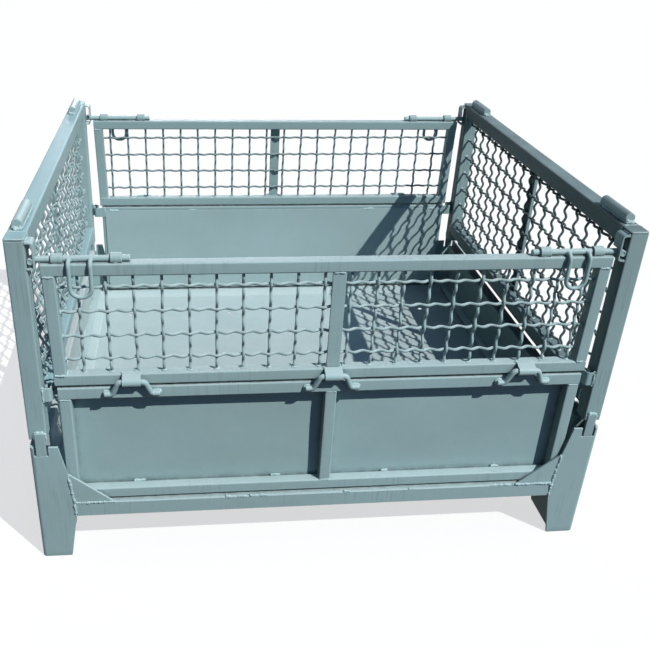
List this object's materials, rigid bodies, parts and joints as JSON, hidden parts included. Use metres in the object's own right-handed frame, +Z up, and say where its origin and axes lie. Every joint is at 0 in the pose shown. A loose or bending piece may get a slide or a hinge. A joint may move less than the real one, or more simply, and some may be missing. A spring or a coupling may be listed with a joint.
{
  "type": "wire mesh container",
  "caption": "Collapsible steel box pallet with wire mesh walls on plate feet: fold-in side panels with hinged drop gates, sliding bolts and lift-out mesh end walls.",
  "frame": {"origin": "centre of the bounding box on the ground under the feet", "axes": "+X along the long side, -Y towards the front gate, +Z up"},
  "size_m": [1.168, 1.0158, 0.7464],
  "materials": {
    "frame_paint": "satin",
    "wire_paint": "satin",
    "bright_paint": "satin"
  },
  "bodies": {
    "base": {"base_rails": "frame_paint", "end_board_left": "frame_paint", "end_board_right": "frame_paint", "floor_sheet": "frame_paint", "foot_back_left": "frame_paint", "foot_back_right": "frame_paint", "foot_front_left": "frame_paint", "foot_front_right": "frame_paint", "gusset_back_left": "frame_paint", "gusset_back_right": "frame_paint", "gusset_front_left": "frame_paint", "gusset_front_right": "frame_paint"},
    "front_panel": {"hinge_bar_front_1": "bright_paint", "hinge_bar_front_2": "bright_paint", "hinge_bar_front_3": "bright_paint", "panel_frame_front": "frame_paint", "panel_sheet_front": "frame_paint"},
    "back_panel": {"hinge_bar_back_1": "bright_paint", "hinge_bar_back_2": "bright_paint", "hinge_bar_back_3": "bright_paint", "panel_frame_back": "frame_paint", "panel_sheet_back": "frame_paint"},
    "front_gate": {"gate_frame_front": "frame_paint", "gate_mesh_front": "wire_paint", "hinge_strap_front_1": "bright_paint", "hinge_strap_front_2": "bright_paint", "hinge_strap_front_3": "bright_paint"},
    "back_gate": {"gate_frame_back": "frame_paint", "gate_mesh_back": "wire_paint", "hinge_strap_back_1": "bright_paint", "hinge_strap_back_2": "bright_paint", "hinge_strap_back_3": "bright_paint"},
    "left_wall": {"bolt_catch_back_left": "bright_paint", "bolt_catch_front_left": "bright_paint", "post_hook_back_left": "bright_paint", "post_hook_front_left": "bright_paint", "stack_bar_back_left": "bright_paint", "stack_bar_front_left": "bright_paint", "wall_frame_left": "frame_paint", "wall_mesh_left": "wire_paint"},
    "right_wall": {"bolt_catch_back_right": "bright_paint", "bolt_catch_front_right": "bright_paint", "post_hook_back_right": "bright_paint", "post_hook_front_right": "bright_paint", "stack_bar_back_right": "bright_paint", "stack_bar_front_right": "bright_paint", "wall_frame_right": "frame_paint", "wall_mesh_right": "wire_paint"},
    "bolt_front_left": {"bolt_rod_front_left": "bright_paint"},
    "handle_front_left": {"bolt_handle_front_left": "bright_paint"},
    "bolt_front_right": {"bolt_rod_front_right": "bright_paint"},
    "handle_front_right": {"bolt_handle_front_right": "bright_paint"},
    "bolt_back_left": {"bolt_rod_back_left": "bright_paint"},
    "handle_back_left": {"bolt_handle_back_left": "bright_paint"},
    "bolt_back_right": {"bolt_rod_back_right": "bright_paint"},
    "handle_back_right": {"bolt_handle_back_right": "bright_paint"}
  },
  "joints": [
    {"name": "front_panel_fold", "type": "hinge", "parent": "base", "child": "front_panel", "pos_m": [0, -0.469, 0.152], "axis": [-1, 0, 0], "range_deg": [0, 90]},
    {"name": "front_gate_hinge", "type": "hinge", "parent": "front_panel", "child": "front_gate", "pos_m": [0, -0.499, 0.4355], "axis": [1, 0, 0], "range_deg": [0, 180]},
    {"name": "bolt_front_left_slide", "type": "slide", "parent": "front_gate", "child": "bolt_front_left", "axis": [1, 0, 0], "range_m": [0, 0.0285]},
    {"name": "handle_front_left_turn", "type": "hinge", "parent": "bolt_front_left", "child": "handle_front_left", "pos_m": [-0.458, -0.475, 0.6827], "axis": [-1, 0, 0], "range_deg": [0, 180]},
    {"name": "bolt_front_right_slide", "type": "slide", "parent": "front_gate", "child": "bolt_front_right", "axis": [-1, 0, 0], "range_m": [0, 0.0285]},
    {"name": "handle_front_right_turn", "type": "hinge", "parent": "bolt_front_right", "child": "handle_front_right", "pos_m": [0.458, -0.475, 0.6827], "axis": [-1, 0, 0], "range_deg": [0, 180]},
    {"name": "back_panel_fold", "type": "hinge", "parent": "base", "child": "back_panel", "pos_m": [0, 0.469, 0.152], "axis": [1, 0, 0], "range_deg": [0, 90]},
    {"name": "back_gate_hinge", "type": "hinge", "parent": "back_panel", "child": "back_gate", "pos_m": [0, 0.499, 0.4355], "axis": [-1, 0, 0], "range_deg": [0, 180]},
    {"name": "bolt_back_left_slide", "type": "slide", "parent": "back_gate", "child": "bolt_back_left", "axis": [1, 0, 0], "range_m": [0, 0.0285]},
    {"name": "handle_back_left_turn", "type": "hinge", "parent": "bolt_back_left", "child": "handle_back_left", "pos_m": [-0.458, 0.475, 0.6827], "axis": [1, 0, 0], "range_deg": [0, 180]},
    {"name": "bolt_back_right_slide", "type": "slide", "parent": "back_gate", "child": "bolt_back_right", "axis": [-1, 0, 0], "range_m": [0, 0.0285]},
    {"name": "handle_back_right_turn", "type": "hinge", "parent": "bolt_back_right", "child": "handle_back_right", "pos_m": [0.458, 0.475, 0.6827], "axis": [1, 0, 0], "range_deg": [0, 180]},
    {"name": "left_wall_lift", "type": "slide", "parent": "base", "child": "left_wall", "axis": [0, 0, 1], "range_m": [0, 0.18]},
    {"name": "right_wall_lift", "type": "slide", "parent": "base", "child": "right_wall", "axis": [0, 0, 1], "range_m": [0, 0.18]}
  ]
}
